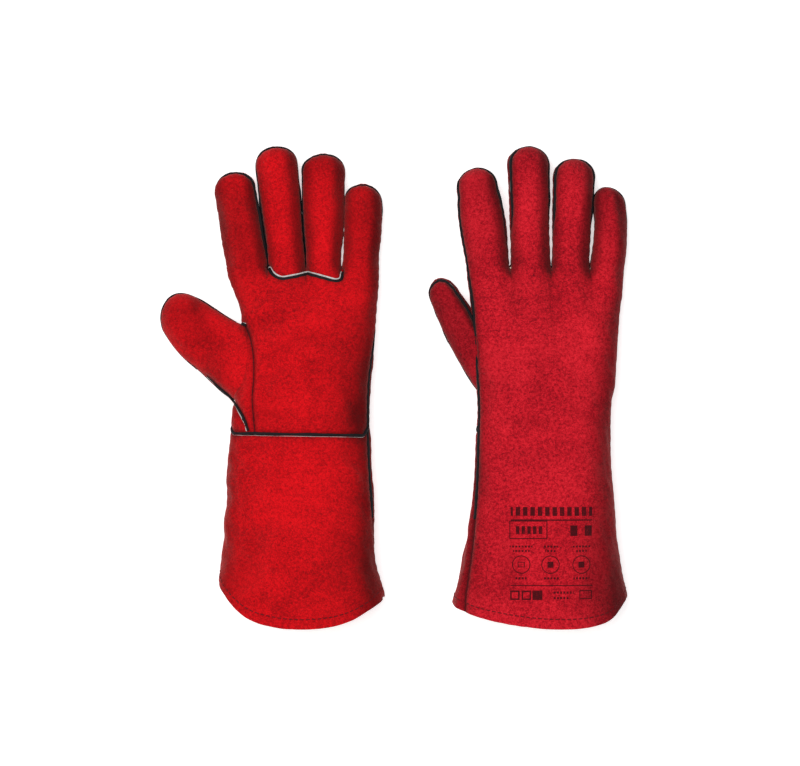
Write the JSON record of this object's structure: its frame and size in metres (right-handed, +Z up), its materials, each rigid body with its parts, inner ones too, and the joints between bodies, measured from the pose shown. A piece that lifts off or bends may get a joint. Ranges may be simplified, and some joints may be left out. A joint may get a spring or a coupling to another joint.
{
  "type": "welding gloves",
  "caption": "Lined split-leather welding gauntlets, left and right, with welted seams, a set-in thumb, a separate finger insert and long flared cuffs with a curved hem.",
  "frame": {"origin": "under the middle of the pair, on the surface it lies on", "axes": "+Z up; +Y from the hems towards the fingertips; +X from the left glove to the right glove"},
  "size_m": [0.3454, 0.351, 0.0555],
  "materials": {
    "left_leather": "red split suede, napped, matte",
    "right_leather": "red split suede, napped, matte, slightly darker and more mottled",
    "black_welt": "black welt strip with a pale edge",
    "fleece_lining": "brushed cotton fleece",
    "cotton_lining": "plain woven cotton"
  },
  "bodies": {
    "left_hand": {"left_palm_panel": "left_leather", "left_back_panel": "left_leather", "left_finger_insert": "left_leather", "left_thumb_base": "left_leather", "left_hand_welt": "black_welt", "left_hand_lining": "fleece_lining"},
    "left_index": {"left_index_front": "left_leather", "left_index_back": "left_leather", "left_index_welt": "black_welt", "left_index_lining": "fleece_lining"},
    "left_middle": {"left_middle_front": "left_leather", "left_middle_back": "left_leather", "left_middle_welt": "black_welt", "left_middle_lining": "fleece_lining"},
    "left_ring": {"left_ring_front": "left_leather", "left_ring_back": "left_leather", "left_ring_welt": "black_welt", "left_ring_lining": "fleece_lining"},
    "left_little": {"left_little_front": "left_leather", "left_little_back": "left_leather", "left_little_welt": "black_welt", "left_little_lining": "fleece_lining"},
    "left_thumb": {"left_thumb_front": "left_leather", "left_thumb_back": "left_leather", "left_thumb_welt": "black_welt", "left_thumb_lining": "fleece_lining"},
    "left_cuff": {"left_cuff_front": "left_leather", "left_cuff_back": "left_leather", "left_cuff_welt": "black_welt", "left_cuff_lining": "cotton_lining"},
    "right_hand": {"right_palm_panel": "right_leather", "right_back_panel": "right_leather", "right_finger_insert": "right_leather", "right_thumb_base": "right_leather", "right_hand_welt": "black_welt", "right_hand_lining": "fleece_lining"},
    "right_index": {"right_index_front": "right_leather", "right_index_back": "right_leather", "right_index_welt": "black_welt", "right_index_lining": "fleece_lining"},
    "right_middle": {"right_middle_front": "right_leather", "right_middle_back": "right_leather", "right_middle_welt": "black_welt", "right_middle_lining": "fleece_lining"},
    "right_ring": {"right_ring_front": "right_leather", "right_ring_back": "right_leather", "right_ring_welt": "black_welt", "right_ring_lining": "fleece_lining"},
    "right_little": {"right_little_front": "right_leather", "right_little_back": "right_leather", "right_little_welt": "black_welt", "right_little_lining": "fleece_lining"},
    "right_thumb": {"right_thumb_front": "right_leather", "right_thumb_back": "right_leather", "right_thumb_welt": "black_welt", "right_thumb_lining": "fleece_lining"},
    "right_cuff": {"right_cuff_front": "right_leather", "right_cuff_back": "right_leather", "right_cuff_welt": "black_welt", "right_cuff_lining": "cotton_lining"}
  },
  "joints": [
    {"name": "left_index_curl", "type": "hinge", "parent": "left_hand", "child": "left_index", "pos_m": [-0.10996, 0.11167, 0.011], "axis": [0.9863, 0.165, 0], "range_deg": [0, 70]},
    {"name": "left_middle_curl", "type": "hinge", "parent": "left_hand", "child": "left_middle", "pos_m": [-0.0799, 0.11781, 0.011], "axis": [0.9936, 0.1132, 0], "range_deg": [0, 70]},
    {"name": "left_ring_curl", "type": "hinge", "parent": "left_hand", "child": "left_ring", "pos_m": [-0.05083, 0.11598, 0.011], "axis": [0.9993, 0.0384, 0], "range_deg": [0, 70]},
    {"name": "left_little_curl", "type": "hinge", "parent": "left_hand", "child": "left_little", "pos_m": [-0.02277, 0.10798, 0.011], "axis": [0.9988, -0.0489, 0], "range_deg": [0, 70]},
    {"name": "left_thumb_curl", "type": "hinge", "parent": "left_hand", "child": "left_thumb", "pos_m": [-0.14005, 0.03886, 0.0125], "axis": [0.6428, 0.766, 0], "range_deg": [0, 45]},
    {"name": "left_wrist_bend", "type": "hinge", "parent": "left_hand", "child": "left_cuff", "pos_m": [-0.068, -0.032, 0.02], "axis": [1, 0, 0], "range_deg": [-20, 20]},
    {"name": "right_index_curl", "type": "hinge", "parent": "right_hand", "child": "right_index", "pos_m": [0.06637, 0.1118, 0.011], "axis": [-0.9914, -0.1305, 0], "range_deg": [0, 70]},
    {"name": "right_middle_curl", "type": "hinge", "parent": "right_hand", "child": "right_middle", "pos_m": [0.10006, 0.11799, 0.011], "axis": [-0.9995, -0.0314, 0], "range_deg": [0, 70]},
    {"name": "right_ring_curl", "type": "hinge", "parent": "right_hand", "child": "right_ring", "pos_m": [0.1305, 0.116, 0.011], "axis": [-1, 0, 0], "range_deg": [0, 70]},
    {"name": "right_little_curl", "type": "hinge", "parent": "right_hand", "child": "right_little", "pos_m": [0.1579, 0.10795, 0.011], "axis": [-0.9976, 0.0698, 0], "range_deg": [0, 70]},
    {"name": "right_thumb_curl", "type": "hinge", "parent": "right_hand", "child": "right_thumb", "pos_m": [0.04566, 0.05346, 0.0125], "axis": [-0.8988, -0.4384, 0], "range_deg": [0, 45]},
    {"name": "right_wrist_bend", "type": "hinge", "parent": "right_hand", "child": "right_cuff", "pos_m": [0.109, -0.032, 0.02], "axis": [-1, 0, 0], "range_deg": [-20, 20]},
    {"name": "right_glove_lift", "type": "slide", "parent": "left_hand", "child": "right_hand", "axis": [0, 0, 1], "range_m": [0, 0.12]}
  ]
}
